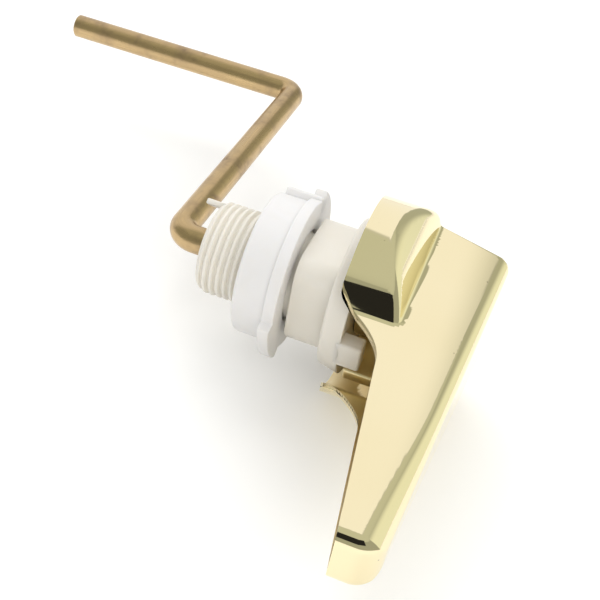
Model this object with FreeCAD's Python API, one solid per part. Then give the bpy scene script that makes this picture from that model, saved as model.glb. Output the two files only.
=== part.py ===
import FreeCAD, Part
import math
import os

# Side-mount toilet tank trip lever, in millimetres.
# Origin: on the shaft axis, at the bushing flange's wall seat. +Y runs along the shaft into the tank,
# -Y points out of the tank towards the handle's front, -X is the handle's tip side, +Z is up.

V = FreeCAD.Vector
X_AXIS, Y_AXIS, Z_AXIS = V(1, 0, 0), V(0, 1, 0), V(0, 0, 1)

# ---- rod arm ----
ROD_D = 6.35              # quarter-inch brass rod
ROD_OFFSET = 78.0         # shaft axis to the axis of the outer run
ROD_CROSS_Y = 39.7        # where the offset run crosses the shaft axis
ROD_REACH = 69.0          # outer run, from the offset run's centre line to the cut end
ROD_BEND_R = 4.3          # centre-line radius of both bends
ROD_SEAT_DEPTH = 18.0     # how far the rod goes into the handle's boss

# ---- bushing ----
FLANGE_DRAFT = 1.1        # how much smaller the flange is at the wall seat than on the handle side
FLANGE_T = 4.9
FLANGE_EDGE_R = 1.0       # rounded edge at the wall seat
TAB_W = 7.0               # stop tab on the flange's handle side
TAB_RADIAL = 4.0
TAB_LEN = 4.7
SQUARE_W = 22.0           # square body that keys into the tank wall's hole
SQUARE_LEN = 9.0
SQUARE_CORNER_R = 4.5
THREAD_D = 21.0           # crest diameter
THREAD_DEPTH = 0.85
THREAD_PITCH = 1.6
SHANK_END_Y = 31.0
END_TAB_LEN = 4.2         # thin tongue standing on the shank's inner end
END_TAB_W = 4.0
END_TAB_T = 1.3
END_TAB_ANGLE = 50.0      # from +X towards +Z
CORE_R = 7.6              # moulding core at the inner end
CORE_DEPTH = 6.0

# ---- lock nut ----
NUT_GAP = 1.0             # gap between the square body's end and the nut's face
NUT_LEN = 10.0
NUT_R = 16.1
NUT_CHAMFER = 0.8
COLLAR_T = 2.7
COLLAR_R = 16.9
LUG_R = 19.3
LUG_SPAN = 52.0           # degrees
LUG_ANGLE = 31.0          # centre of the first lug, from +X towards +Z
GRIP_R = 17.7             # axial grip rib
GRIP_ANGLE = 54.0
GRIP_W = 5.0
GRIP_END_MARGIN = 1.4

# ---- handle ----
WALL = 1.6
HUB_R = 22.4
HUB_RIM_Y = -2.6          # the skirt's open edge
RIM_EDGE_R = 0.7          # rounded outer edge of the skirt's rim
RIM_TRIM_X = -16.8        # the rim is cut away obliquely from here to the gusset's corner
SHOULDER_Y = -15.5        # where the hub's shoulder meets the lever's sides
SHOULDER_RISE = 5.8       # axial height of the shoulder at SHOULDER_RUN
SHOULDER_RUN = 8.8        # how far that point lies out from the side plane
SHOULDER_CROWN = 0.8      # bulge of the shoulder above its chord
HEAD_SETBACK = 0.8        # how far the shoulder starts inside the lever's head
HEAD_X = 13.7             # hub end of the lever at the shoulder
HEAD_FRONT_X = 9.3        # hub end of the lever at the front face
HEAD_FRONT_Y = -32.3
TIP_X = -67.8
TIP_FRONT_Y = -27.7
TIP_REAR_Y = -19.6
REAR_BEND_X = -30.0       # where the straight rear edge starts
REAR_BEND_Y = -14.2
GUSSET_X = -19.3          # top corner of the side gusset, beside the skirt
GUSSET_Y = -6.2
GUSSET_SAG = 1.5          # hollow of the gusset's rear edge below its chord
SIDE_Z = 11.3             # half width of the lever at GUSSET_X
TIP_Z = 5.9               # half width of the lever at the tip
TIP_EDGE_R = 2.2          # upright edges of the tip
FRONT_EDGE_R = 2.8        # edges of the front face
BOSS_R = 8.0
STOP_T = 3.0              # thickness of the two stop ribs

# ---- set screw ----
SCREW_D = 5.0
SCREW_LEN = 5.5
SCREW_Y = -13.0
SOCKET_AF = 2.5
SOCKET_DEPTH = 2.4

# ---- fits and travel ----
RUN_CLEAR = 0.06          # radial, rod in the bushing's bore
SEAT_CLEAR = 0.03         # radial, rod in the handle's boss
NUT_CLEAR = 0.12          # radial, nut over the thread's crests
FACE_CLEAR = 0.3          # axial, boss face to flange face
STOP_CLEAR = 0.25         # stop tab to the stop rib at each end of the travel
SCREW_CLEAR = 0.03
SCREW_ROOM = 0.25         # free length of the screw's hole past its outer end
SKIRT_GAP = 3.2           # radial, hub skirt to the flange's handle side
TRAVEL_DEG = 20.0         # handle rotation, tip down
TAB_ANGLE = TRAVEL_DEG / 2    # the tab's place below the -X direction, so the screw lies between the ribs

ROD_R = ROD_D / 2
FLANGE_R_FRONT = HUB_R - WALL - SKIRT_GAP      # flange radius on the handle side
FLANGE_R_WALL = FLANGE_R_FRONT - FLANGE_DRAFT  # flange radius at the wall seat
TAPER = math.atan2(SIDE_Z - TIP_Z, GUSSET_X - TIP_X)    # each side's slope, seen from the front


def cyl(radius, y0, y1):
    """Cylinder on the shaft axis from y0 to y1."""
    return Part.makeCylinder(radius, y1 - y0, V(0, y0, 0), Y_AXIS)


def box(x0, x1, y0, y1, z0, z1):
    return Part.makeBox(x1 - x0, y1 - y0, z1 - z0, V(x0, y0, z0))


def turned(points):
    """Solid of revolution about the shaft axis from (radius, y) points, closed on the axis."""
    ring = [V(r, y, 0) for r, y in points]
    ring.append(ring[0])
    return Part.Face(Part.makePolygon(ring)).revolve(V(0, 0, 0), Y_AXIS, 360)


def prism(points, direction):
    """Straight prism on a closed polygon of points."""
    return Part.Face(Part.makePolygon(points + [points[0]])).extrude(direction)


def about_shaft(shape, degrees):
    """Turned about the shaft: positive takes +X towards +Z."""
    out = shape.copy()
    out.rotate(V(0, 0, 0), Y_AXIS, -degrees)
    return out


def hexagon(across_flats, x):
    """Corners of a hexagon in the plane at x, centred on the set screw's axis."""
    r = across_flats / math.sqrt(3)
    turns = [math.radians(60 * k) for k in range(6)]
    return [V(x, SCREW_Y + r * math.cos(t), r * math.sin(t)) for t in turns]


# ---------------------------------------------------------------- rod arm
def bend(centre, start, end):
    """Quarter-circle arc about centre, from start to end."""
    mid_dir = (start - centre) + (end - centre)
    mid_dir.normalize()
    return Part.Arc(start, centre + mid_dir * ROD_BEND_R, end).toShape()


def make_rod():
    """Round rod along the shaft, across by the offset, then on into the tank."""
    y0 = -FLANGE_T - FACE_CLEAR - ROD_SEAT_DEPTH
    b = ROD_BEND_R
    p0 = V(0, y0, 0)
    p1 = V(0, ROD_CROSS_Y - b, 0)
    p2 = V(b, ROD_CROSS_Y, 0)
    p3 = V(ROD_OFFSET - b, ROD_CROSS_Y, 0)
    p4 = V(ROD_OFFSET, ROD_CROSS_Y + b, 0)
    p5 = V(ROD_OFFSET, ROD_CROSS_Y + ROD_REACH, 0)
    edges = [
        Part.LineSegment(p0, p1).toShape(),
        bend(V(b, ROD_CROSS_Y - b, 0), p1, p2),
        Part.LineSegment(p2, p3).toShape(),
        bend(V(ROD_OFFSET - b, ROD_CROSS_Y + b, 0), p3, p4),
        Part.LineSegment(p4, p5).toShape(),
    ]
    section = Part.Wire(Part.makeCircle(ROD_R, p0, Y_AXIS))
    return Part.Wire(edges).makePipeShell([section], True, False)


# ---------------------------------------------------------------- bushing
def thread_profile():
    """(radius, y) outline of the shank with rounded-off ring crests, one pitch apart."""
    crest = THREAD_D / 2
    root = crest - THREAD_DEPTH
    count = int((SHANK_END_Y - SQUARE_LEN - THREAD_PITCH) / THREAD_PITCH)
    first = SHANK_END_Y - count * THREAD_PITCH
    points = [(0, SQUARE_LEN / 2), (root, SQUARE_LEN / 2), (root, first)]
    for k in range(count):
        y = first + k * THREAD_PITCH
        points.append((crest, y + 0.34 * THREAD_PITCH))
        points.append((crest, y + 0.58 * THREAD_PITCH))
        points.append((root, y + 0.92 * THREAD_PITCH))
        points.append((root, y + THREAD_PITCH))
    points.append((0, SHANK_END_Y))
    return points


def make_bushing():
    flange = turned([(0, -FLANGE_T), (FLANGE_R_FRONT, -FLANGE_T), (FLANGE_R_WALL, 0), (0, 0)])
    rim = [e for e in flange.Edges if abs(e.BoundBox.YMin) < 1e-6 and e.BoundBox.YLength < 1e-6]
    flange = flange.makeFillet(FLANGE_EDGE_R, rim)
    square = box(-SQUARE_W / 2, SQUARE_W / 2, -FLANGE_T / 2, SQUARE_LEN, -SQUARE_W / 2, SQUARE_W / 2)
    along = [e for e in square.Edges if e.BoundBox.YLength > SQUARE_LEN / 2]
    square = square.makeFillet(SQUARE_CORNER_R, along)
    tab = box(-FLANGE_R_FRONT, -FLANGE_R_FRONT + TAB_RADIAL, -FLANGE_T - TAB_LEN, -FLANGE_T / 2,
              -TAB_W / 2, TAB_W / 2)
    tab = about_shaft(tab.common(cyl(FLANGE_R_FRONT, -FLANGE_T - TAB_LEN, 0)), TAB_ANGLE)
    r = THREAD_D / 2 - THREAD_DEPTH
    tongue = box(r - END_TAB_T, r, SHANK_END_Y - 1, SHANK_END_Y + END_TAB_LEN, -END_TAB_W / 2, END_TAB_W / 2)
    tongue = about_shaft(tongue, END_TAB_ANGLE)
    body = flange.fuse([square, turned(thread_profile()), tab, tongue]).removeSplitter()
    body = body.cut(cyl(ROD_R + RUN_CLEAR, -FLANGE_T - 1, SHANK_END_Y + 1))
    return body.cut(cyl(CORE_R, SHANK_END_Y - CORE_DEPTH, SHANK_END_Y + END_TAB_LEN + 1))


# ---------------------------------------------------------------- lock nut
def sector(radius, y0, y1, span):
    """Pie slice of a disc, centred on +X."""
    half = math.radians(span / 2)
    start = V(radius * math.cos(half), y0, -radius * math.sin(half))
    end = V(radius * math.cos(half), y0, radius * math.sin(half))
    arc = Part.Arc(start, V(radius, y0, 0), end).toShape()
    hub = V(0, y0, 0)
    wire = Part.Wire([Part.LineSegment(hub, start).toShape(), arc, Part.LineSegment(end, hub).toShape()])
    return Part.Face(wire).extrude(V(0, y1 - y0, 0))


def make_nut():
    y0 = SQUARE_LEN + NUT_GAP
    y1 = y0 + NUT_LEN
    barrel = turned([(0, y0), (NUT_R, y0), (NUT_R, y1 - NUT_CHAMFER), (NUT_R - NUT_CHAMFER, y1), (0, y1)])
    pieces = [cyl(COLLAR_R, y0, y0 + COLLAR_T)]
    for turn in (0, 180):
        pieces.append(about_shaft(sector(LUG_R, y0, y0 + COLLAR_T, LUG_SPAN), LUG_ANGLE + turn))
    grip = box(NUT_R - 2, GRIP_R, y0, y1 - GRIP_END_MARGIN, -GRIP_W / 2, GRIP_W / 2)
    pieces.append(about_shaft(grip, GRIP_ANGLE))
    return barrel.fuse(pieces).removeSplitter().cut(cyl(THREAD_D / 2 + NUT_CLEAR, y0 - 1, y1 + 1))


# ---------------------------------------------------------------- handle
def plan(inset, y0, y1):
    """Prism through the lever's front-view outline, a wedge in X and Z, shrunk by inset."""
    slope = math.tan(TAPER)
    side = inset / math.cos(TAPER)
    tip, head = TIP_X + inset, HEAD_X + HUB_R
    z_tip = TIP_Z + slope * inset - side
    z_head = SIDE_Z + slope * (head - GUSSET_X) - side
    corners = [V(tip, y0, -z_tip), V(tip, y0, z_tip), V(head, y0, z_head), V(head, y0, -z_head)]
    return prism(corners, V(0, y1 - y0, 0))


def side_outline(inset, rear):
    """The lever's outline seen along Z, drawn in by inset at front and ends, with its rear corners given."""
    slope = (TIP_FRONT_Y - HEAD_FRONT_Y) / (HEAD_FRONT_X - TIP_X)
    lean = (HEAD_X - HEAD_FRONT_X) / (SHOULDER_Y - HEAD_FRONT_Y)
    tip_x = TIP_X + inset
    front_head = V(HEAD_FRONT_X - inset + lean * inset, HEAD_FRONT_Y + inset + slope * inset, 0)
    front_tip = V(tip_x, TIP_FRONT_Y + inset - slope * inset, 0)
    return [front_head, front_tip] + rear + [V(HEAD_X - inset, SHOULDER_Y, 0)]


def lever_solid():
    """Solid lever: the side outline extruded across and trimmed to the front-view wedge."""
    reach = 2 * HUB_R
    points = side_outline(0, [V(TIP_X, TIP_REAR_Y, 0), V(REAR_BEND_X, REAR_BEND_Y, 0)])
    gusset_foot = V(GUSSET_X + WALL, SHOULDER_Y, 0)
    gusset_top = V(GUSSET_X + WALL, GUSSET_Y, 0)
    corner = V(GUSSET_X, GUSSET_Y, 0)
    bend_end = points[3]
    chord = bend_end - corner
    hollow = corner + chord * 0.5 + V(-chord.y, chord.x, 0).normalize() * GUSSET_SAG
    edges = [Part.LineSegment(a, b).toShape() for a, b in zip(points[:3], points[1:4])]
    edges.append(Part.Arc(bend_end, hollow, corner).toShape())
    rest = [corner, gusset_top, gusset_foot, points[4], points[0]]
    edges += [Part.LineSegment(a, b).toShape() for a, b in zip(rest[:-1], rest[1:])]
    slab = Part.Face(Part.Wire(edges))
    slab.translate(V(0, 0, -reach))
    return slab.extrude(V(0, 0, 2 * reach)).common(plan(0, HEAD_FRONT_Y - 5, 0))


def round_lever(slab):
    """Rounds the front face's edges and the tip's upright edges."""
    tip = [e for e in slab.Edges if e.BoundBox.XMax < TIP_X + 0.01 and e.BoundBox.ZLength < 0.01]
    slab = slab.makeFillet(TIP_EDGE_R, tip)
    front = [e for e in slab.Edges if on_front(e)]
    return slab.makeFillet(FRONT_EDGE_R, front)


def front_y(x):
    """Height of the sloping front face at x."""
    return HEAD_FRONT_Y + (TIP_FRONT_Y - HEAD_FRONT_Y) * (HEAD_FRONT_X - x) / (HEAD_FRONT_X - TIP_X)


def on_front(edge):
    """True for an edge that lies in the sloping front face."""
    return all(abs(v.Y - front_y(v.X)) < 0.01 for v in edge.Vertexes)


def shoulder_tool(shift):
    """Everything outside the crowned shoulder on both sides and at the head, moved inwards by shift."""
    far = 3 * HUB_R
    low = V(0, SHOULDER_Y, 0)
    high = V(SHOULDER_RUN, SHOULDER_Y + SHOULDER_RISE, 0)
    chord = high - low
    crown = low + chord * 0.5 + V(chord.y, -chord.x, 0).normalize() * SHOULDER_CROWN
    edges = [Part.Arc(low, crown, high).toShape()]
    rest = [high, V(far, high.y, 0), V(far, SHOULDER_Y - far, 0), V(0, SHOULDER_Y - far, 0), low]
    edges += [Part.LineSegment(a, b).toShape() for a, b in zip(rest[:-1], rest[1:])]
    face = Part.Face(Part.Wire(edges))
    face.translate(V(-shift, 0, -far))
    ramp = face.extrude(V(0, 0, 2 * far))      # outward = +X, along Z
    head = ramp.copy()
    head.translate(V(HEAD_X - HEAD_SETBACK, 0, 0))
    near = ramp.copy()
    near.rotate(V(0, 0, 0), Y_AXIS, -90)       # outward = +Z
    near.rotate(V(0, 0, 0), Y_AXIS, -math.degrees(TAPER))
    near.translate(V(GUSSET_X, 0, SIDE_Z))
    far_side = near.mirror(V(0, 0, 0), Z_AXIS)
    return [head, near, far_side]


def stop_rib(turn, side):
    """Web from the boss and the front plate to the stop tab; side is +1 above the tab, -1 below."""
    gap = TAB_W / 2 + STOP_CLEAR
    z0, z1 = (gap, gap + STOP_T) if side > 0 else (-gap - STOP_T, -gap)
    web = box(-FLANGE_R_FRONT, -BOSS_R + 1, HEAD_FRONT_Y, -FLANGE_T - WALL, z0, z1)
    return about_shaft(web, turn)


def make_handle():
    hub = cyl(HUB_R, SHOULDER_Y, HUB_RIM_Y)
    rim = [e for e in hub.Edges if e.BoundBox.YMin > HUB_RIM_Y - 0.01]
    far = 3 * HUB_R
    oblique = [V(RIM_TRIM_X, HUB_RIM_Y, -far), V(GUSSET_X, GUSSET_Y, -far), V(-far, GUSSET_Y, -far),
               V(-far, far, -far), V(RIM_TRIM_X, far, -far)]
    hub = hub.makeFillet(RIM_EDGE_R, rim).cut(shoulder_tool(0) + [prism(oblique, V(0, 0, 2 * far))])
    lever = round_lever(lever_solid())
    body = lever.fuse(hub)

    # hollow inside: the lever's trough, open at the rear, and the skirt round the flange
    reach = 2 * HUB_R
    rear_y = 20
    open_x = GUSSET_X + WALL
    inner = side_outline(WALL, [V(TIP_X + WALL, rear_y, 0), V(open_x, rear_y, 0), V(open_x, SHOULDER_Y, 0)])
    trough = Part.Face(Part.makePolygon(inner + [inner[0]]))
    trough.translate(V(0, 0, -reach))
    trough = trough.extrude(V(0, 0, 2 * reach)).common(plan(WALL, HEAD_FRONT_Y - 5, rear_y))
    well = cyl(HUB_R - WALL, SHOULDER_Y + WALL, 1).cut(shoulder_tool(WALL * math.sqrt(2)))
    body = body.cut([trough, well])

    boss_face = -FLANGE_T - FACE_CLEAR
    inside = lever.fuse(cyl(HUB_R - WALL / 2, SHOULDER_Y, boss_face))
    boss = cyl(BOSS_R, HEAD_FRONT_Y, boss_face).common(inside)
    lower = stop_rib(TAB_ANGLE, -1).common(inside)
    upper = stop_rib(TAB_ANGLE - TRAVEL_DEG, 1).common(inside)
    body = body.fuse([boss, lower, upper]).removeSplitter()

    body = body.cut(cyl(ROD_R + SEAT_CLEAR, boss_face - ROD_SEAT_DEPTH - 0.2, 1))
    reach = max(BOSS_R + 1, ROD_R + SCREW_CLEAR + SCREW_LEN + SCREW_ROOM)
    hole = Part.makeCylinder(SCREW_D / 2 + SCREW_CLEAR, reach, V(0, SCREW_Y, 0), V(-1, 0, 0))
    return body.cut(hole)


# ---------------------------------------------------------------- set screw
def make_screw():
    x0 = -ROD_R - SCREW_CLEAR
    screw = Part.makeCylinder(SCREW_D / 2, SCREW_LEN, V(x0, SCREW_Y, 0), V(-1, 0, 0))
    outer = x0 - SCREW_LEN
    return screw.cut(prism(hexagon(SOCKET_AF, outer), V(SOCKET_DEPTH, 0, 0)))


os.makedirs("parts", exist_ok=True)
PARTS = {
    "rod_arm": make_rod,
    "bushing": make_bushing,
    "lock_nut": make_nut,
    "handle": make_handle,
    "set_screw": make_screw,
}
for name, make in PARTS.items():
    shape = make()
    shape.exportStep("parts/" + name + ".step")
    box_ = shape.BoundBox
    print(name, shape.ShapeType, "solids", len(shape.Solids), "valid", shape.isValid(),
          "volume", round(shape.Volume, 1), "x", round(box_.XMin, 1), round(box_.XMax, 1),
          "y", round(box_.YMin, 1), round(box_.YMax, 1), "z", round(box_.ZMin, 1), round(box_.ZMax, 1))
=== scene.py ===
import math

import bpy
import numpy as np
from bpy.props import FloatProperty, FloatVectorProperty, PointerProperty
from bpy.types import Operator, Panel, PropertyGroup
from mathutils import Euler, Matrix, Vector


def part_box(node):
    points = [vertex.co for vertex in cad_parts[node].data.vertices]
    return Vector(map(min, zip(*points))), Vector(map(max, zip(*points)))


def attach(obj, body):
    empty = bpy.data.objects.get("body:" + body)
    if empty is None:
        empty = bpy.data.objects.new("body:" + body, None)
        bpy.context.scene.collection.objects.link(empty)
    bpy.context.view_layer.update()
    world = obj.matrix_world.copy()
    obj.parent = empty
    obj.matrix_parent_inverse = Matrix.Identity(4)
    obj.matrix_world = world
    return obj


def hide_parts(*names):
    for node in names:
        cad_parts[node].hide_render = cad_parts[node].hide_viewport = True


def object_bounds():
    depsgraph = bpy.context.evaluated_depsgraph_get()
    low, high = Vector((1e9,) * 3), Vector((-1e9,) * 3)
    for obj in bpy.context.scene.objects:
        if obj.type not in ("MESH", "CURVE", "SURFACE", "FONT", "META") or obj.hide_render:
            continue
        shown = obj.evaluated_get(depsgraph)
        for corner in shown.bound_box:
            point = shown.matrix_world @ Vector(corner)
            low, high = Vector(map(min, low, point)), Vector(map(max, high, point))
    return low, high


bl_info = {
    "name": "Toilet Tank Trip Lever",
    "version": (1, 0, 0),
    "blender": (4, 5, 0),
    "location": "3D View > Sidebar > Trip Lever",
    "description": "Builds the rod, bushing and lock nut of a tank trip lever, with its finishes and studio",
    "category": "Object",
}

# The frame is in metres. +Y runs along the shaft into the tank, -X is the handle's tip, +Z is up.
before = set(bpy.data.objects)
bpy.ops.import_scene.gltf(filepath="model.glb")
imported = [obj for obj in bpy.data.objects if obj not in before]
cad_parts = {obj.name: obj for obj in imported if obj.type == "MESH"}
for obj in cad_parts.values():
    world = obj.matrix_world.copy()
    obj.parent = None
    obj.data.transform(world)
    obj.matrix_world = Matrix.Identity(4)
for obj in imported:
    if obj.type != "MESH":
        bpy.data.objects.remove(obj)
CAD_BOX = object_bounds()
MM = 0.001


def linear(hex_code):
    """An sRGB hex colour as linear red, green and blue."""
    levels = np.array([int(hex_code[k:k + 2], 16) for k in (0, 2, 4)]) / 255
    low = levels / 12.92
    high = ((levels + 0.055) / 1.055) ** 2.4
    return tuple(float(v) for v in np.where(levels <= 0.04045, low, high))


def length(name, description, size_mm):
    """A length property whose default is given in millimetres."""
    return FloatProperty(name=name, description=description, default=size_mm * MM, min=0, unit="LENGTH", precision=5)


def colour(name, description, hex_code):
    """A colour property whose default is given as sRGB hex."""
    return FloatVectorProperty(name=name, description=description, default=linear(hex_code),
                               subtype="COLOR", size=3, min=0, max=1)


# ---------------------------------------------------------------- sizes and colours
class TripLeverSizes(PropertyGroup):
    """Sizes of the rod, the bushing and the lock nut."""
    rod_d: length("Rod diameter", "Quarter-inch rod", 6.35)
    rod_bend: length("Bend radius", "Centre-line radius of the rod's two bends", 4.3)
    rod_chamfer: length("Rod end chamfer", "Broken edge of the rod's cut ends", 0.25)
    flange_wall: length("Flange radius at wall", "Flange radius at the wall seat", 16.5)
    flange_front: length("Flange radius at front", "Flange radius on the handle side", 17.6)
    flange_t: length("Flange thickness", "Thickness of the bushing's flange", 4.9)
    square_w: length("Square width", "Across the flats of the body that keys into the wall", 22)
    square_len: length("Square length", "Length of the body that keys into the wall", 9)
    square_corner: length("Square corner", "Corner radius of that body", 4.5)
    thread_d: length("Thread diameter", "Over the crests", 21)
    thread_depth: length("Thread depth", "From crest to root", 0.85)
    thread_pitch: length("Thread pitch", "From crest to crest", 1.6)
    shank_end: length("Shank end", "From the wall seat to the shank's inner end", 31)
    core_r: length("Core radius", "Hollow in the shank's inner end", 7.6)
    core_depth: length("Core depth", "Depth of that hollow", 6)
    bore_r: length("Bushing bore", "Radius of the rod's running bore", 3.235)
    nut_start: length("Nut start", "From the wall seat to the nut's wall face", 10)
    nut_len: length("Nut length", "Length of the nut", 10)
    nut_r: length("Nut radius", "Radius of the nut's barrel", 16.1)
    nut_bore: length("Nut bore", "Radius of the nut's bore", 10.62)
    collar_r: length("Collar radius", "Radius of the nut's collar", 16.9)
    collar_t: length("Collar thickness", "Thickness of the collar and its lugs", 2.7)
    lug_r: length("Lug radius", "Radius over the nut's two lugs", 19.2)
    wall: length("Casting wall", "Wall of the hollow handle", 1.6)
    hub_r: length("Hub radius", "Radius of the handle's skirt", 22.4)
    lever_len: length("Lever length", "Shaft axis to the handle's tip", 67.8)
    side_half: length("Lever half width", "Half width of the lever beside the skirt", 11.3)
    tip_half: length("Tip half width", "Half width of the lever at its tip", 5.9)
    front_round: length("Front edge radius", "Front edges near the head", 2.8)
    tip_round: length("Tip edge radius", "Front edges at the tip", 4.6)
    crease_round: length("Crease radius", "Hollow where the shoulder meets the lever's side", 0.5)


class TripLeverColours(PropertyGroup):
    """Colours of the finishes."""
    plate: colour("Plated brass", "Polished brass plate under clear lacquer", "F9ECC6")
    rod: colour("Drawn brass", "Rod as it came from the die", "CFB384")
    rod_tarnish: colour("Tarnished brass", "Handled and aged parts of the rod", "A48C70")
    bushing: colour("Bushing plastic", "Natural ivory acetal", "EDE9E0")
    nut: colour("Nut plastic", "White polypropylene", "EBEAEA")
    steel: colour("Screw steel", "Black-oxide steel", "3A3836")
    floor: colour("Floor", "White studio paper", "F4F4F2")


# ---------------------------------------------------------------- surfaces
def shell_faces(rows, cols, wrap):
    """Quads between neighbouring rows and columns of a grid. Columns close on themselves; rows do if wrap is set."""
    i = np.arange(rows if wrap else rows - 1)[:, None]
    j = np.arange(cols)[None, :]
    below, beside = (i + 1) % rows, (j + 1) % cols
    quads = np.stack([i * cols + j, i * cols + beside, below * cols + beside, below * cols + j], -1)
    return quads.reshape(-1, 4)


def shell_volume(points, quads):
    """Six times the volume inside the quads: the sum over their halves of a dot (b cross c)."""
    a, b, c, d = (points[quads[:, k]] for k in range(4))
    halves = np.einsum("ij,ij->i", a, np.cross(b, c)) + np.einsum("ij,ij->i", a, np.cross(c, d))
    return halves.sum()


def make_piece(name, shells, sharp_degrees=32, uv_size=None):
    """A mesh object from closed shells.
    Each shell is (grid, wrap): grid is rows x columns x 3 in metres, its columns a closed ring.
    An unwrapped shell is closed by one flat face at each end. Every shell is turned so that its faces look out."""
    points, faces, start = [], [], 0
    for grid, wrap in shells:
        rows, cols = grid.shape[:2]
        flat = grid.reshape(-1, 3)
        quads = shell_faces(rows, cols, wrap)
        caps = [] if wrap else [np.arange(cols)[::-1], np.arange(cols) + (rows - 1) * cols]
        if shell_volume(flat - flat.mean(0), quads) < 0:
            quads = quads[:, ::-1]
            caps = [cap[::-1] for cap in caps]
        points.append(flat)
        faces += (quads + start).tolist() + [(cap + start).tolist() for cap in caps]
        start += len(flat)
    mesh = bpy.data.meshes.new(name)
    mesh.from_pydata(np.concatenate(points).tolist(), [], faces)
    if mesh.validate():
        raise RuntimeError(name + ": the surface has faces that can't be used")
    mesh.shade_smooth()
    mesh.set_sharp_from_angle(angle=math.radians(sharp_degrees))
    if uv_size is not None:
        corner = np.empty(len(mesh.loops), np.int32)
        mesh.loops.foreach_get("vertex_index", corner)
        layer = mesh.uv_layers.new(name="Along")
        layer.uv.foreach_set("vector", uv_size.reshape(-1, 2)[corner].astype(np.float32).ravel())
    piece = bpy.data.objects.new(name, mesh)
    bpy.context.scene.collection.objects.link(piece)
    return piece


def rounded_line(corners, radii, steps=6):
    """Points along a closed line through the corners, each corner replaced by a curve of about its radius.
    The curve is a quadratic: it leaves one side a radius from the corner and joins the next side as far beyond.
    A corner may carry further values, which change along the line as its place does."""
    at = np.array(corners, float)
    back = np.roll(at, 1, 0) - at
    ahead = np.roll(at, -1, 0) - at
    reach = np.array(radii, float)[:, None]
    start = at + back * np.minimum(0.49, reach / np.linalg.norm(back[:, :2], axis=1, keepdims=True))
    end = at + ahead * np.minimum(0.49, reach / np.linalg.norm(ahead[:, :2], axis=1, keepdims=True))
    t = np.linspace(0, 1, steps)[None, :, None]
    curve = (1 - t) ** 2 * start[:, None] + 2 * t * (1 - t) * at[:, None] + t ** 2 * end[:, None]
    return curve.reshape(-1, at.shape[1])


def smooth(low, high, value):
    """0 below low, 1 above high, and an even S between them."""
    t = np.clip((value - low) / (high - low), 0, 1)
    return t * t * (3 - 2 * t)


def rounded_square(turn, half, corner):
    """Radius of a square with rounded corners at each angle: the nearer of its side and its corner's circle."""
    a = np.abs((turn + math.pi / 4) % (math.pi / 2) - math.pi / 4)
    side = half / np.cos(a)
    centre = math.hypot(half - corner, half - corner)
    off = math.pi / 4 - a
    under = np.maximum(corner ** 2 - (centre * np.sin(off)) ** 2, 0)
    return np.where(half * np.tan(a) > half - corner, centre * np.cos(off) + np.sqrt(under), side)


def soft_block(low, high, edge, turn, steps=5):
    """A block along Y with every edge rounded, turned about the shaft.
    Each ring is its cross-section, a rectangle with quarter-circle corners, drawn in by the end rounding's own
    quarter circle: inset = edge (1 - sin a), height = edge (1 - cos a)."""
    (x0, y0, z0), (x1, y1, z1) = low, high
    a = np.linspace(0, math.pi / 2, steps)
    inset = np.concatenate([edge * (1 - np.sin(a)), edge * (1 - np.sin(a[::-1]))])
    y = np.concatenate([y0 + edge * (1 - np.cos(a)), y1 - edge * (1 - np.cos(a[::-1]))])
    around = (np.arange(4)[:, None] * math.pi / 2 + a[None, :]).ravel()
    centre_x = np.repeat([x1 - edge, x0 + edge, x0 + edge, x1 - edge], steps)
    centre_z = np.repeat([z1 - edge, z1 - edge, z0 + edge, z0 + edge], steps)
    r = edge * 1.02 - inset[:, None]
    x = centre_x + r * np.cos(around)
    z = centre_z + r * np.sin(around)
    c, s = math.cos(turn), math.sin(turn)
    return np.stack([x * c - z * s, np.broadcast_to(y[:, None], x.shape), x * s + z * c], -1)


def polar_grid(r, y, turn):
    """Points at radius r and height y about the shaft, at each angle from +X towards +Z."""
    r, y, turn = np.broadcast_arrays(r, y, turn)
    return np.stack([r * np.cos(turn), y, r * np.sin(turn)], -1)


def round_outer(a, b, radius):
    """Distance to what lies inside both a and b, their shared edge rounded off by a circle of that radius."""
    past = np.hypot(np.maximum(radius + a, 0), np.maximum(radius + b, 0))
    return np.minimum(-radius, np.maximum(a, b)) + past


def round_inner(a, b, radius):
    """Distance to what lies inside a or b, the crease between them filled by a circle of that radius."""
    short = np.hypot(np.maximum(radius - a, 0), np.maximum(radius - b, 0))
    return np.maximum(radius, np.minimum(a, b)) - short


def rim_height(x):
    """Height of the handle's open rear edge at each x: the skirt's rim, its oblique trim, the hollow gusset as a
    parabola below its chord, then the straight edge to the tip."""
    t = np.clip((-19.3 * MM - x) / (10.7 * MM), 0, 1)
    line = np.interp(x, np.array([-67.8, -30, -19.3, -16.8, 30]) * MM, np.array([-19.6, -14.2, -6.2, -2.6, -2.6]) * MM)
    return line - 1.87 * MM * 4 * t * (1 - t)


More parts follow.
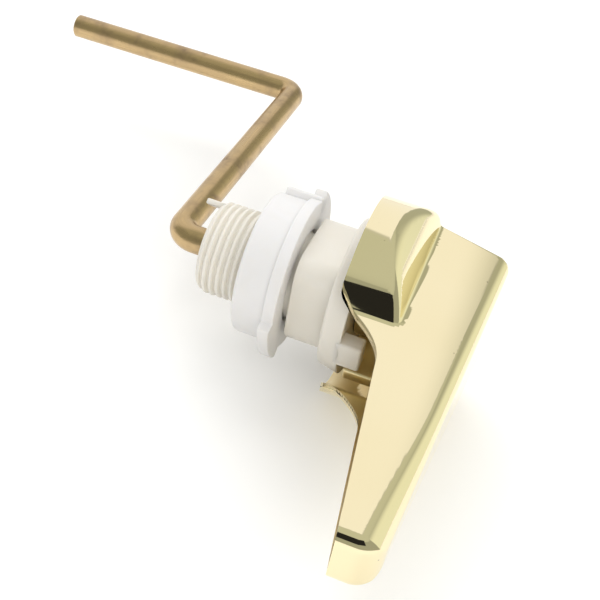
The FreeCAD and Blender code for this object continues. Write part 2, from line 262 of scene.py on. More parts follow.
def handle_distance(s, p):
    """Distance from the handle's outer surface, negative inside.
    The lever is the space behind its front, tip and head planes and between two side planes that spread towards
    the head. The hub is a cylinder under a crowned roof that falls away from the lever's sides and head.
    The roof's height is a straight rise less a parabola, of the distance out from the nearer side plane."""
    x, y, z = p[..., 0], p[..., 1], p[..., 2]
    slope = (s.side_half - s.tip_half) / (s.lever_len - 19.3 * MM)
    lean = 1 / math.hypot(1, slope)
    side = (np.abs(z) - (s.side_half + slope * (x + 19.3 * MM))) * lean
    front = (-32.3 * MM + (9.3 * MM - x) * 4.6 / 77.1 - y) / math.hypot(1, 4.6 / 77.1)
    head = ((x - 13.7 * MM) * 16.8 - (y + 15.5 * MM) * 4.4) / math.hypot(16.8, 4.4)
    edge = s.front_round + (s.tip_round - s.front_round) * smooth(-35 * MM, -66 * MM, x)
    lever = round_outer(round_outer(side, -s.lever_len - x, 2.2 * MM), front, edge)
    lever = round_outer(lever, head, 0.8 * MM)
    out = np.clip(round_outer(side, x - 12.9 * MM, 0.8 * MM), 0, 8.8 * MM)
    part = out / (8.8 * MM)
    roof = (-15.5 + 5.8 * part - 0.8 * 4 * part * (1 - part)) * MM
    hub = round_outer(np.hypot(x, z) - s.hub_r, (roof - y) * 0.84, 1.3 * MM)
    return round_inner(lever, hub, s.crease_round)


def cast_rays(distance, origin, way, level, reach):
    """How far along each ray the distance reaches level: the ray's span is halved again and again."""
    low, high = np.zeros(way.shape[:2]), np.full(way.shape[:2], reach)
    for _ in range(36):
        half = (low + high) / 2
        inside = distance(origin + half[..., None] * way) < level
        low, high = np.where(inside, half, low), np.where(inside, high, half)
    return low


def slope_of(distance, points, step):
    """Unit gradient of the distance, from differences along each axis."""
    ways = np.eye(3) * step
    rise = np.stack([distance(points + way) - distance(points - way) for way in ways], -1)
    return rise / np.linalg.norm(rise, axis=-1, keepdims=True)


# ---------------------------------------------------------------- materials
def node(tree, kind, settings=None, links=None):
    """Adds a node. settings holds its properties and socket values, links what feeds each of its inputs."""
    made = tree.nodes.new(kind)
    for key, value in (settings or {}).items():
        if isinstance(key, str) and hasattr(made, key):
            setattr(made, key, value)
        else:
            made.inputs[key].default_value = value
    for key, source in (links or {}).items():
        tree.links.new(source, made.inputs[key])
    return made


def new_material(name):
    """An empty node material and its output."""
    material = bpy.data.materials.new(name)
    material.use_nodes = True
    tree = material.node_tree
    tree.nodes.clear()
    return material, tree, node(tree, "ShaderNodeOutputMaterial")


def per_mm(size_mm):
    """Noise scale that gives features of about size_mm on Object coordinates in metres."""
    return 1 / (size_mm * MM)


def plated_brass(tint):
    """Polished brass plate on a zinc casting, under clear lacquer.
    The casting was buffed before plating, which leaves it mirror-like with a long, very faint waviness.
    Dust under the lacquer gives a few dark specks, and the film softens the reflection a little in patches."""
    material, tree, out = new_material("polished_brass_plate_lacquered")
    place = node(tree, "ShaderNodeTexCoord").outputs["Object"]
    # Buffing waves are about 9 mm apart and some microns deep.
    waves = node(tree, "ShaderNodeTexNoise", {"Scale": per_mm(9), "Detail": 1.0}, {"Vector": place})
    # Dust nibs are about 0.15 mm and lie some 4 mm apart, drawn 0.3 mm so that they show.
    nibs = node(tree, "ShaderNodeTexVoronoi", {"Scale": per_mm(4.5), "Randomness": 1.0}, {"Vector": place})
    rare = node(tree, "ShaderNodeSeparateColor", {}, {"Color": nibs.outputs["Color"]})
    near = node(tree, "ShaderNodeMapRange", {"From Min": 0.02, "From Max": 0.05, "To Min": 0.6, "To Max": 0.0},
                {"Value": nibs.outputs["Distance"]})
    chosen = node(tree, "ShaderNodeMath", {"operation": "LESS_THAN", 1: 0.5}, {0: rare.outputs["Red"]})
    speck = node(tree, "ShaderNodeMath", {"operation": "MULTIPLY"}, {0: near.outputs[0], 1: chosen.outputs[0]})
    # Plating shade drifts a little over some 25 mm.
    drift = node(tree, "ShaderNodeTexNoise", {"Scale": per_mm(25), "Detail": 2.0}, {"Vector": place})
    shade = node(tree, "ShaderNodeMix", {"data_type": "RGBA", 6: (*tint, 1), 7: (tint[0] * 0.97, tint[1] * 0.95, tint[2] * 0.88, 1)},
                 {0: drift.outputs["Fac"]})
    dusted = node(tree, "ShaderNodeMix", {"data_type": "RGBA", 7: (*linear("5A4A30"), 1)},
                  {0: speck.outputs[0], 6: shade.outputs[2]})
    haze = node(tree, "ShaderNodeMapRange", {"From Min": 0.35, "From Max": 0.75, "To Min": 0.035, "To Max": 0.075},
                {"Value": drift.outputs["Fac"]})
    bump = node(tree, "ShaderNodeBump", {"Strength": 0.05, "Distance": 0.02 * MM}, {"Height": waves.outputs["Fac"]})
    shader = node(tree, "ShaderNodeBsdfPrincipled", {"Metallic": 1.0, "Coat Weight": 0.15, "Coat Roughness": 0.04},
                  {"Base Color": dusted.outputs[2], "Roughness": haze.outputs[0], "Normal": bump.outputs[0]})
    tree.links.new(shader.outputs[0], out.inputs[0])
    return material


def unpolished_brass(tint):
    """The inside of the casting: the same plate over metal left as it came from the die.
    The buff never reached it, so it is a satin amber with a sandy grain, and its own reflections deepen the colour."""
    material, tree, out = new_material("brass_plate_as_cast")
    place = node(tree, "ShaderNodeTexCoord").outputs["Object"]
    # The die's grain is about 0.3 mm.
    sand = node(tree, "ShaderNodeTexNoise", {"Scale": per_mm(0.5), "Detail": 3.0}, {"Vector": place})
    # Plating thins over some 8 mm in the corners.
    cloud = node(tree, "ShaderNodeTexNoise", {"Scale": per_mm(8), "Detail": 2.0}, {"Vector": place})
    shade = node(tree, "ShaderNodeMix", {"data_type": "RGBA", 6: (*tint, 1), 7: (tint[0] * 0.93, tint[1] * 0.84, tint[2] * 0.66, 1)},
                 {0: cloud.outputs["Fac"]})
    rough = node(tree, "ShaderNodeMapRange", {"To Min": 0.3, "To Max": 0.46}, {"Value": sand.outputs["Fac"]})
    bump = node(tree, "ShaderNodeBump", {"Strength": 0.3, "Distance": 0.05 * MM}, {"Height": sand.outputs["Fac"]})
    shader = node(tree, "ShaderNodeBsdfPrincipled", {"Metallic": 1.0},
                  {"Base Color": shade.outputs[2], "Roughness": rough.outputs[0], "Normal": bump.outputs[0]})
    tree.links.new(shader.outputs[0], out.inputs[0])
    return material


def drawn_brass(tint, tarnish):
    """Brass rod, cold drawn through a die and left bare.
    Drawing leaves fine lines along the rod, which blur its reflection across; handling dulls it in blotches."""
    material, tree, out = new_material("drawn_brass_rod")
    along = node(tree, "ShaderNodeUVMap", {"uv_map": "Along"}).outputs["UV"]
    place = node(tree, "ShaderNodeTexCoord").outputs["Object"]
    # The map is in millimetres. Draw lines are about 0.02 mm wide and 20 mm long, drawn 0.3 mm wide so that they show.
    stretched = node(tree, "ShaderNodeMapping", {"Scale": (1 / 20, 1 / 0.3, 1)}, {"Vector": along})
    lines = node(tree, "ShaderNodeTexNoise", {"Scale": 1.0, "Detail": 3.0, "Roughness": 0.65},
                 {"Vector": stretched.outputs[0]})
    # Tarnish blotches are about 9 mm across, with 1.2 mm spotting in them.
    blotch = node(tree, "ShaderNodeTexNoise", {"Scale": per_mm(9), "Detail": 4.0, "Roughness": 0.6}, {"Vector": place})
    spots = node(tree, "ShaderNodeTexNoise", {"Scale": per_mm(1.2), "Detail": 2.0}, {"Vector": place})
    patch = node(tree, "ShaderNodeMapRange", {"From Min": 0.42, "From Max": 0.66}, {"Value": blotch.outputs["Fac"]})
    line = node(tree, "ShaderNodeMapRange", {"From Min": 0.35, "From Max": 0.68, "To Max": 0.55},
                {"Value": lines.outputs["Fac"]})
    age = node(tree, "ShaderNodeMath", {"operation": "MAXIMUM"}, {0: patch.outputs[0], 1: line.outputs[0]})
    freckle = node(tree, "ShaderNodeMapRange", {"From Min": 0.35, "From Max": 0.7, "To Min": 0.7, "To Max": 1.0},
                   {"Value": spots.outputs["Fac"]})
    amount = node(tree, "ShaderNodeMath", {"operation": "MULTIPLY"}, {0: age.outputs[0], 1: freckle.outputs[0]})
    shade = node(tree, "ShaderNodeMix", {"data_type": "RGBA", 6: (*tint, 1), 7: (*tarnish, 1)}, {0: amount.outputs[0]})
    rough = node(tree, "ShaderNodeMapRange", {"To Min": 0.26, "To Max": 0.44}, {"Value": amount.outputs[0]})
    bump = node(tree, "ShaderNodeBump", {"Strength": 0.25, "Distance": 0.02 * MM}, {"Height": lines.outputs["Fac"]})
    shader = node(tree, "ShaderNodeBsdfPrincipled", {"Metallic": 1.0},
                  {"Base Color": shade.outputs[2], "Roughness": rough.outputs[0], "Normal": bump.outputs[0]})
    tree.links.new(shader.outputs[0], out.inputs[0])
    return material


def moulded_plastic(name, tint, rough, glow, ior):
    """Injection-moulded plastic from a lightly stoned steel tool.
    The tool leaves a fine even grain, so the gloss is soft; light goes a little way in, which lifts thin edges.
    The melt's flow shows as a slight drift of shade."""
    material, tree, out = new_material(name)
    place = node(tree, "ShaderNodeTexCoord").outputs["Object"]
    # The tool's grain is about 0.05 mm, drawn 0.35 mm so that it shows.
    grain = node(tree, "ShaderNodeTexNoise", {"Scale": per_mm(0.35), "Detail": 2.0}, {"Vector": place})
    # Flow marks are long and some 7 mm apart.
    flow = node(tree, "ShaderNodeTexNoise", {"Scale": per_mm(7), "Detail": 3.0, "Distortion": 0.8}, {"Vector": place})
    shade = node(tree, "ShaderNodeMix", {"data_type": "RGBA", 6: (*tint, 1), 7: (tint[0] * 0.95, tint[1] * 0.94, tint[2] * 0.91, 1)},
                 {0: flow.outputs["Fac"]})
    gloss = node(tree, "ShaderNodeMapRange", {"From Min": 0.3, "From Max": 0.7, "To Min": rough - 0.05, "To Max": rough + 0.07},
                 {"Value": grain.outputs["Fac"]})
    bump = node(tree, "ShaderNodeBump", {"Strength": 0.2, "Distance": 0.03 * MM}, {"Height": grain.outputs["Fac"]})
    shader = node(tree, "ShaderNodeBsdfPrincipled",
                  {"IOR": ior, "Subsurface Weight": glow, "Subsurface Radius": (1.0, 0.9, 0.75), "Subsurface Scale": 0.9 * MM},
                  {"Base Color": shade.outputs[2], "Roughness": gloss.outputs[0], "Normal": bump.outputs[0]})
    tree.links.new(shader.outputs[0], out.inputs[0])
    return material


def oxide_steel(tint):
    """Hardened steel socket screw with a black oxide skin, oiled.
    The skin is thin, so worn grain shows through as faint lighter flecks with a satin sheen."""
    material, tree, out = new_material("black_oxide_steel")
    place = node(tree, "ShaderNodeTexCoord").outputs["Object"]
    # Flecks are about 0.4 mm.
    fleck = node(tree, "ShaderNodeTexNoise", {"Scale": per_mm(0.4), "Detail": 3.0}, {"Vector": place})
    shade = node(tree, "ShaderNodeMix", {"data_type": "RGBA", 6: (*tint, 1), 7: (*linear("77726C"), 1)},
                 {0: fleck.outputs["Fac"]})
    rough = node(tree, "ShaderNodeMapRange", {"To Min": 0.3, "To Max": 0.5}, {"Value": fleck.outputs["Fac"]})
    shader = node(tree, "ShaderNodeBsdfPrincipled", {"Metallic": 1.0},
                  {"Base Color": shade.outputs[2], "Roughness": rough.outputs[0]})
    tree.links.new(shader.outputs[0], out.inputs[0])
    return material


def studio_paper(tint):
    """Matt white backdrop paper: it keeps a soft shadow, and the camera sees the rest of it as plain white."""
    material, tree, out = new_material("white_studio_paper")
    place = node(tree, "ShaderNodeTexCoord").outputs["Object"]
    # Paper tooth is about 0.6 mm.
    tooth = node(tree, "ShaderNodeTexNoise", {"Scale": per_mm(0.6), "Detail": 2.0}, {"Vector": place})
    shade = node(tree, "ShaderNodeMix", {"data_type": "RGBA", 6: (*tint, 1), 7: (tint[0] * 0.98, tint[1] * 0.98, tint[2] * 0.98, 1)},
                 {0: tooth.outputs["Fac"]})
    matt = node(tree, "ShaderNodeBsdfDiffuse", {"Roughness": 0.5}, {"Color": shade.outputs[2]})
    path = node(tree, "ShaderNodeLightPath")
    seen = node(tree, "ShaderNodeMath", {"operation": "MAXIMUM"},
                {0: path.outputs["Is Camera Ray"], 1: path.outputs["Is Glossy Ray"]})
    lift = node(tree, "ShaderNodeMath", {"operation": "MULTIPLY", 1: 0.16}, {0: seen.outputs[0]})
    white = node(tree, "ShaderNodeEmission", {"Color": (1, 1, 1, 1)}, {"Strength": lift.outputs[0]})
    both = node(tree, "ShaderNodeAddShader", {}, {0: matt.outputs[0], 1: white.outputs[0]})
    tree.links.new(both.outputs[0], out.inputs[0])
    return material


def glowing_card(name):
    """A studio card that shows only in reflections; its own colours are in the attribute Card."""
    material, tree, out = new_material(name)
    card = node(tree, "ShaderNodeAttribute", {"attribute_name": "Card"})
    glow = node(tree, "ShaderNodeEmission", {"Strength": 1.0}, {"Color": card.outputs["Color"]})
    tree.links.new(glow.outputs[0], out.inputs[0])
    return material


# ---------------------------------------------------------------- pieces
class TRIPLEVER_OT_bushing(Operator):
    """Threaded bushing: flange with its stop tab, square body, shank and end tongue"""
    bl_idname = "trip_lever.bushing"
    bl_label = "Bushing"

    around: bpy.props.IntProperty(name="Around", description="Columns about the shaft", default=192, min=48)

    def execute(self, context):
        """One ring-shaped surface about the shaft: a closed profile of radius and height, turned once.
        On the square body the radius follows the rounded square. On the shank it is the root plus the depth
        times the crest, a rounded trapezoid of height / pitch - angle / full turn, so the thread is a helix."""
        s = context.scene.trip_sizes
        turn = np.arange(self.around) * 2 * math.pi / self.around
        root = s.thread_d / 2 - s.thread_depth
        square = s.square_w / 2
        bead = 0.4 * MM
        # Corners are (radius, height, share of the square's outline, share of the thread).
        corners = [
            (s.bore_r, -s.flange_t, 0, 0), (s.flange_front, -s.flange_t, 0, 0), (s.flange_wall, 0, 0, 0),
            (square, 0, 1, 0), (square, s.square_len, 1, 0), (root, s.square_len, 0, 0),
        ]
        radii = [bead, 0.35 * MM, 1.0 * MM, 0.3 * MM, 0.5 * MM, 0.3 * MM]
        ending = [
            (root, s.shank_end, 0, 0), (s.core_r, s.shank_end, 0, 0),
            (s.core_r, s.shank_end - s.core_depth, 0, 0), (s.bore_r, s.shank_end - s.core_depth, 0, 0),
        ]
        line = rounded_line(corners + ending, radii + [bead, bead, 0.5 * MM, bead])
        split = 6 * len(corners)
        y = np.arange(s.square_len + 0.4 * MM, s.shank_end - bead, s.thread_pitch / 12)
        cut = smooth(s.square_len + 0.8 * MM, s.square_len + 3 * MM, y) * smooth(s.shank_end - 0.3 * MM, s.shank_end - 1.2 * MM, y)
        shank = np.stack([np.full_like(y, root), y, np.zeros_like(y), cut], 1)
        rows = np.concatenate([line[:split], shank, line[split:]])
        r, y, squareness, thread = (rows[:, k, None] for k in range(4))
        outline = rounded_square(turn, square, s.square_corner) / square
        ramp = np.abs(2 * ((y / s.thread_pitch - turn / (2 * math.pi)) % 1) - 1)
        crest = smooth(0.15, 0.72, 1 - ramp)
        radius = r * (1 + squareness * (outline - 1)) + thread * s.thread_depth * crest
        tab = soft_block((-s.flange_front + 0.15 * MM, -9.6 * MM, -3.5 * MM),
                         (-13.6 * MM, -s.flange_t + 1 * MM, 3.5 * MM), 0.6 * MM, math.radians(10))
        tongue = soft_block((root - 1.3 * MM, s.shank_end - 1 * MM, -2 * MM),
                            (root, 35.2 * MM, 2 * MM), 0.35 * MM, math.radians(50))
        piece = make_piece("bushing_moulding", [(polar_grid(radius, y, turn), True), (tab, False), (tongue, False)])
        piece.data.materials.append(moulded_plastic("ivory_acetal_moulded", context.scene.trip_colours.bushing, 0.36, 0.25, 1.48))
        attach(piece, "bushing")
        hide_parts("bushing")
        return {"FINISHED"}


class TRIPLEVER_OT_lock_nut(Operator):
    """Lock nut: barrel, collar with two lugs and a grip rib"""
    bl_idname = "trip_lever.lock_nut"
    bl_label = "Lock Nut"

    around: bpy.props.IntProperty(name="Around", description="Columns about the shaft", default=300, min=60)

    def execute(self, context):
        """One ring-shaped surface about the shaft: a closed profile of radius and height, turned once.
        The collar's radius grows to the lug radius within each lug's span, through a steep S at its two sides."""
        s = context.scene.trip_sizes
        turn = np.arange(self.around) * 2 * math.pi / self.around
        y0, y1 = s.nut_start, s.nut_start + s.nut_len
        step = y0 + s.collar_t
        # Corners are (radius, height, share of the lugs).
        corners = [
            (s.nut_bore, y0, 0), (s.collar_r, y0, 1), (s.collar_r, step, 1), (s.nut_r, step, 0),
            (s.nut_r, y1, 0), (s.nut_bore, y1, 0),
        ]
        rows = rounded_line(corners, [0.4 * MM, 0.35 * MM, 0.35 * MM, 0.4 * MM, 0.9 * MM, 0.4 * MM])
        r, y, lugged = (rows[:, k, None] for k in range(3))
        from_lug = np.abs((turn - math.radians(31) + math.pi / 2) % math.pi - math.pi / 2)
        lug = (s.lug_r - s.collar_r) * (1 - smooth(math.radians(24.6), math.radians(26.6), from_lug))
        grip = soft_block((s.nut_r - 2 * MM, y0 + 0.02 * MM, -2.5 * MM), (17.7 * MM, 18.6 * MM, 2.5 * MM), 0.6 * MM, math.radians(54))
        piece = make_piece("nut_moulding", [(polar_grid(r + lugged * lug, y, turn), True), (grip, False)])
        piece.data.materials.append(moulded_plastic("white_polypropylene_moulded", context.scene.trip_colours.nut, 0.44, 0.3, 1.49))
        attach(piece, "nut")
        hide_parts("lock_nut")
        return {"FINISHED"}


class TRIPLEVER_OT_rod(Operator):
    """Bent brass rod, from the handle's boss to its cut end in the tank"""
    bl_idname = "trip_lever.rod"
    bl_label = "Rod"

    around: bpy.props.IntProperty(name="Around", description="Columns about the rod", default=64, min=16)

    def execute(self, context):
        """A circle carried along a line in the plane z = 0: straight runs joined by quarter circles.
        A point is centre + radius (cos a normal + sin a up). At each end the radius falls by the chamfer."""
        s = context.scene.trip_sizes
        low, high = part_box("rod_arm")
        bend, half = s.rod_bend, s.rod_d / 2
        cross, reach = 39.7 * MM, high.x - half
        a = np.linspace(0, math.pi / 2, 25)
        ins = np.linspace(low.y + s.rod_chamfer, cross - bend, 60)[:-1]
        over = np.linspace(bend, reach - bend, 60)[1:-1]
        outs = np.linspace(cross + bend, high.y - s.rod_chamfer, 60)[1:]
        x = np.concatenate([[0], 0 * ins, bend - bend * np.cos(a), over, reach - bend + bend * np.sin(a), 0 * outs + reach, [reach]])
        y = np.concatenate([[low.y], ins, cross - bend + bend * np.sin(a), 0 * over + cross,
                            cross + bend - bend * np.cos(a), outs, [high.y]])
        centre = np.stack([x, y, 0 * x], 1)
        ahead = np.gradient(centre, axis=0)
        ahead /= np.linalg.norm(ahead, axis=1, keepdims=True)
        normal = np.stack([-ahead[:, 1], ahead[:, 0], 0 * x], 1)
        size = np.full(len(x), half)
        size[[0, -1]] -= s.rod_chamfer
        angle = np.arange(self.around) * 2 * math.pi / self.around
        circle = np.cos(angle)[None, :, None] * normal[:, None] + np.sin(angle)[None, :, None] * np.array([0, 0, 1])
        grid = centre[:, None] + size[:, None, None] * circle
        travel = np.concatenate([[0], np.cumsum(np.linalg.norm(np.diff(centre, axis=0), axis=1))])
        girth = np.abs((angle / math.pi + 1) % 2 - 1) * math.pi * half
        along = np.stack(np.broadcast_arrays(travel[:, None], girth[None, :]), -1) / MM
        piece = make_piece("rod_sweep", [(grid, False)], uv_size=along)
        colours = context.scene.trip_colours
        piece.data.materials.append(drawn_brass(colours.rod, colours.rod_tarnish))
        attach(piece, "lever")
        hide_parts("rod_arm")
        return {"FINISHED"}


class TRIPLEVER_OT_handle(Operator):
    """Cast handle: hub and lever as one hollow shell"""
    bl_idname = "trip_lever.handle"
    bl_label = "Handle"

    fine: bpy.props.IntProperty(name="Fine", description="Columns in each span between rim, edges and middle", default=28, min=8)

    def execute(self, context):
        """A bowl found by rays. Rays leave a spine that runs along the open rear edge, fan round each of its ends
        and sweep from one rim over the front to the other. Each ray stops where the distance to the outer surface
        is nought, and for the inner surface where it is minus the wall. The sweep is stretched so that the same
        columns follow the front edges: their angle is that of the half width against the middle ray's length."""
        s = context.scene.trip_sizes
        tip_x, head_x = -62 * MM, 4 * MM
        drop = math.atan2(5.4, 37.8)
        lean = np.concatenate([np.linspace(drop, math.pi / 2, 36)[:-1], np.full(110, math.pi / 2),
                               np.linspace(math.pi / 2, math.pi, 56)[1:]])
        x = np.concatenate([np.full(35, tip_x), np.linspace(tip_x, head_x, 110), np.full(55, head_x)])
        origin = np.stack([x, rim_height(x), 0 * x], 1)[:, None]
        ahead = np.stack([np.cos(lean) * -1, np.sin(lean) * -1, 0 * lean], 1)[:, None]

        def distance(points):
            return handle_distance(s, points)

        depth = cast_rays(distance, origin, ahead, 0, 90 * MM)
        slope = (s.side_half - s.tip_half) / (s.lever_len - 19.3 * MM)
        beside = s.side_half + slope * ((origin + depth[..., None] * ahead)[..., 0] + 19.3 * MM)
        edge = np.arctan2(depth, np.clip(beside, 0, 16 * MM))
        span = np.linspace(0, 1, self.fine + 1)[:-1]
        to_edge = np.concatenate([span * 0.84, 0.84 + span * 0.16]) * edge
        past_edge = edge + np.concatenate([span * 0.35, 0.35 + span * 0.65]) * (math.pi / 2 - edge)
        half = np.concatenate([to_edge, past_edge], 1)
        sweep = np.concatenate([half, np.full_like(edge, math.pi / 2), math.pi - half[:, ::-1]], 1)[..., None]
        way = np.sin(sweep) * ahead + np.cos(sweep) * np.array([0, 0, 1])

        outer = origin + cast_rays(distance, origin, way, 0, 90 * MM)[..., None] * way
        inner = origin + cast_rays(distance, origin, way, -s.wall, 90 * MM)[..., None] * way
        grid = np.concatenate([outer, inner[:, ::-1]], 1)
        piece = make_piece("handle_casting", [(grid, False)])
        facing = np.concatenate([slope_of(distance, outer, 0.02 * MM), -slope_of(distance, inner[:, ::-1], 0.02 * MM)], 1)
        piece.data.normals_split_custom_set_from_vertices(facing.reshape(-1, 3).tolist())
        colours = context.scene.trip_colours
        piece.data.materials.append(plated_brass(colours.plate))
        piece.data.materials.append(unpolished_brass(colours.plate))
        across = sweep.shape[1]
        back = np.broadcast_to(np.arange(2 * across) >= across, (len(x) - 1, 2 * across)).astype(np.int32).ravel()
        piece.data.polygons.foreach_set("material_index", np.concatenate([back, [0, 0]]))
        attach(piece, "lever")
        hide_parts("handle")
        return {"FINISHED"}


class TRIPLEVER_OT_boss(Operator):
    """Boss and stop webs inside the handle"""
    bl_idname = "trip_lever.boss"
    bl_label = "Boss and Stops"

    def execute(self, context):
        """The boss is a closed profile turned about the shaft; each web is a block with rounded edges."""
        s = context.scene.trip_sizes
        turn = np.arange(72) * 2 * math.pi / 72
        corners = np.array([(3.205, -30.9), (8, -30.9), (8, -5.2), (3.205, -5.2)]) * MM
        line = rounded_line(corners, [0.1 * MM, 0.1 * MM, 0.6 * MM, 0.3 * MM])
        webs = [soft_block((-17.6 * MM, -30.2 * MM, z * MM), (-7 * MM, -6.5 * MM, (z + 3) * MM), 0.5 * MM, math.radians(a))
                for z, a in ((-6.75, 10), (3.75, -10))]
        boss = polar_grid(line[:, :1], line[:, 1:2], turn)
        piece = make_piece("handle_boss", [(boss, True), (webs[0], False), (webs[1], False)])
        piece.data.materials.append(unpolished_brass(context.scene.trip_colours.plate))
        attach(piece, "lever")
        return {"FINISHED"}


class TRIPLEVER_OT_screw_finish(Operator):
    """Finish of the set screw"""
    bl_idname = "trip_lever.screw_finish"
    bl_label = "Screw Finish"

    def execute(self, context):
        """The solid keeps its shape and takes its finish through its material slots."""
        finish = oxide_steel(context.scene.trip_colours.steel)
        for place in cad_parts["set_screw"].material_slots:
            place.material = finish
        return {"FINISHED"}


# ---------------------------------------------------------------- studio
def card(name, grid, tones):
    """A card seen only in reflections. tones holds a grey or a colour for each point of the grid."""
    rows, cols = grid.shape[:2]
    i, j = np.arange(rows - 1)[:, None], np.arange(cols - 1)[None, :]
    quads = np.stack([i * cols + j, i * cols + j + 1, (i + 1) * cols + j + 1, (i + 1) * cols + j], -1)
    mesh = bpy.data.meshes.new(name)
    mesh.from_pydata(grid.reshape(-1, 3).tolist(), [], quads.reshape(-1, 4).tolist())
    paint = mesh.attributes.new("Card", "FLOAT_COLOR", "POINT")
    rgba = np.concatenate([np.broadcast_to(tones, grid.shape).reshape(-1, 3), np.ones((rows * cols, 1))], 1)
    paint.data.foreach_set("color", rgba.astype(np.float32).ravel())
    made = bpy.data.objects.new(name, mesh)
    bpy.context.scene.collection.objects.link(made)
    made.data.materials.append(glowing_card(name + "_glow"))
    made.visible_camera = False
    made.visible_diffuse = False
    made.visible_shadow = False
    made.visible_transmission = False
    return made


def lamp(name, place, aim, size, power):
    """A soft square lamp at place, facing aim, unseen in reflections, where the cards stand in for it."""
    data = bpy.data.lights.new(name, "AREA")
    data.size = size
    data.energy = power
    made = bpy.data.objects.new(name, data)
    made.location = place
    away = made.location - bpy.data.objects.new(name + "_aim", None).location.__class__(aim)
    made.rotation_euler = away.to_track_quat("Z", "Y").to_euler()
    made.visible_glossy = False
    bpy.context.scene.collection.objects.link(made)
    return made


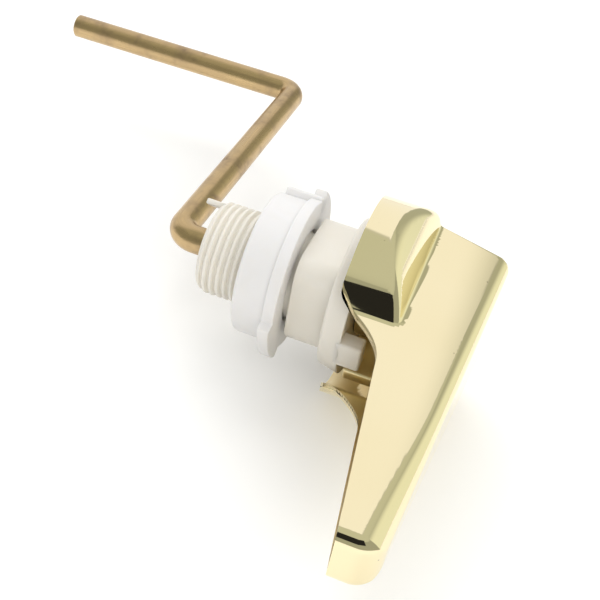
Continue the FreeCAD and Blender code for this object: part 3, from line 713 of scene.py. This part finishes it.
class TRIPLEVER_OT_studio(Operator):
    """Floor, light tent, lamps, world and camera"""
    bl_idname = "trip_lever.studio"
    bl_label = "Studio"

    def execute(self, context):
        """The tent is a dome about the object: its tone is a function of direction, a white cove with grey above,
        beside and behind, and a dark opening where the camera looks in."""
        scene = context.scene
        low, high = CAD_BOX
        eye = np.array([-168.8, -29.8, 134.7]) * MM
        turn = Euler((math.radians(50.268), math.radians(-8.339), math.radians(-70.148)))

        middle = (np.array(low) + np.array(high)) / 2
        floor_z = low[2] - 0.2 * MM
        span = np.linspace(-2.5, 2.5, 41)
        gx, gy = np.meshgrid(span, span, indexing="ij")
        floor = np.stack([gx + middle[0], gy + middle[1], np.full_like(gx, floor_z)], -1)
        mesh = bpy.data.meshes.new("floor")
        i, j = np.arange(40)[:, None], np.arange(40)[None, :]
        quads = np.stack([i * 41 + j, (i + 1) * 41 + j, (i + 1) * 41 + j + 1, i * 41 + j + 1], -1)
        mesh.from_pydata(floor.reshape(-1, 3).tolist(), [], quads.reshape(-1, 4).tolist())
        ground = bpy.data.objects.new("floor", mesh)
        scene.collection.objects.link(ground)
        ground.data.materials.append(studio_paper(scene.trip_colours.floor))

        azimuth = np.linspace(-math.pi, math.pi, 361)[None, :]
        height = np.linspace(0.02, math.pi / 2, 121)[:, None]
        way = np.stack(np.broadcast_arrays(np.cos(height) * np.cos(azimuth), np.cos(height) * np.sin(azimuth),
                                           np.sin(height) + 0 * azimuth), -1)
        dx, dy, dz = (way[..., k] for k in range(3))
        top = 0.94 - 0.065 * smooth(0.03, 0.16, dy)
        cove = smooth(0.02, 0.14, dx) * (1 - smooth(-0.01, 0.03, dz - top)) * smooth(-0.14, -0.03, dy)
        front = (0.46 + 0.45 * smooth(-0.4, -0.75, dy)) * smooth(0.02, 0.2, dx)
        above = 0.6 * smooth(0.62, 0.9, dz) + 0.4 * (1 - smooth(0.62, 0.9, dz))
        tone = np.maximum(np.where(dz > 0.8, above, np.maximum(front, 0.4)), cove)
        tone = tone[..., None] * np.ones(3)
        tint = 1 - (1 - cove[..., None]) * (1 - np.array([0.96, 1.0, 0.84]))
        card("tent", middle + way * 0.9, tone * tint)

        axes = np.array(turn.to_matrix())
        grid_u, grid_v = np.meshgrid(np.linspace(-1, 1, 9), np.linspace(-1, 1, 9), indexing="ij")
        behind = eye + axes[:, 2] * 0.02
        dark = behind + 0.07 * grid_u[..., None] * axes[:, 0] + 0.06 * grid_v[..., None] * axes[:, 1]
        card("camera_flag", dark, 0.02)

        lamp("key", (0.5, 0.25, 0.7), (0, 0.03, 0), 0.7, 3.6)
        lamp("fill", (-0.6, -0.5, 0.5), (0, 0.03, 0), 0.7, 3.0)

        world = bpy.data.worlds.new("white_room")
        scene.world = world
        world.use_nodes = True
        tree = world.node_tree
        tree.nodes.clear()
        out = node(tree, "ShaderNodeOutputWorld")
        path = node(tree, "ShaderNodeLightPath")
        seen = node(tree, "ShaderNodeMath", {"operation": "MAXIMUM"},
                    {0: path.outputs["Is Camera Ray"], 1: path.outputs["Is Glossy Ray"]})
        clear = node(tree, "ShaderNodeMath", {"operation": "MAXIMUM"},
                     {0: seen.outputs[0], 1: path.outputs["Is Transmission Ray"]})
        strength = node(tree, "ShaderNodeMapRange", {"To Min": 0.72, "To Max": 1.0}, {"Value": clear.outputs[0]})
        sky = node(tree, "ShaderNodeBackground", {"Color": (1, 1, 1, 1)}, {"Strength": strength.outputs[0]})
        tree.links.new(sky.outputs[0], out.inputs[0])

        data = bpy.data.cameras.new("camera")
        data.lens = 60
        data.sensor_width = 36
        data.clip_start = 0.005
        camera = bpy.data.objects.new("camera", data)
        camera.location = eye
        camera.rotation_euler = turn
        scene.collection.objects.link(camera)
        scene.camera = camera
        scene.view_settings.view_transform = "Standard"
        return {"FINISHED"}


# ---------------------------------------------------------------- panel
OPERATORS = (
    TRIPLEVER_OT_bushing,
    TRIPLEVER_OT_lock_nut,
    TRIPLEVER_OT_rod,
    TRIPLEVER_OT_handle,
    TRIPLEVER_OT_boss,
    TRIPLEVER_OT_screw_finish,
    TRIPLEVER_OT_studio,
)


class TRIPLEVER_PT_panel(Panel):
    """Sizes, colours and builders of the trip lever"""
    bl_idname = "TRIPLEVER_PT_panel"
    bl_label = "Trip Lever"
    bl_space_type = "VIEW_3D"
    bl_region_type = "UI"
    bl_category = "Trip Lever"

    def draw(self, context):
        for group in (context.scene.trip_sizes, context.scene.trip_colours):
            column = self.layout.column()
            for name in group.__annotations__:
                column.prop(group, name)
        for operator in OPERATORS:
            self.layout.operator(operator.bl_idname)


CLASSES = (TripLeverSizes, TripLeverColours, *OPERATORS, TRIPLEVER_PT_panel)


def register():
    for cls in CLASSES:
        bpy.utils.register_class(cls)
    bpy.types.Scene.trip_sizes = PointerProperty(type=TripLeverSizes)
    bpy.types.Scene.trip_colours = PointerProperty(type=TripLeverColours)


def unregister():
    del bpy.types.Scene.trip_colours
    del bpy.types.Scene.trip_sizes
    for cls in reversed(CLASSES):
        bpy.utils.unregister_class(cls)


def main():
    register()
    bpy.ops.trip_lever.bushing()
    bpy.ops.trip_lever.lock_nut()
    bpy.ops.trip_lever.rod()
    bpy.ops.trip_lever.handle()
    bpy.ops.trip_lever.boss()
    bpy.ops.trip_lever.screw_finish()
    bpy.ops.trip_lever.studio()


if __name__ == "__main__":
    main()
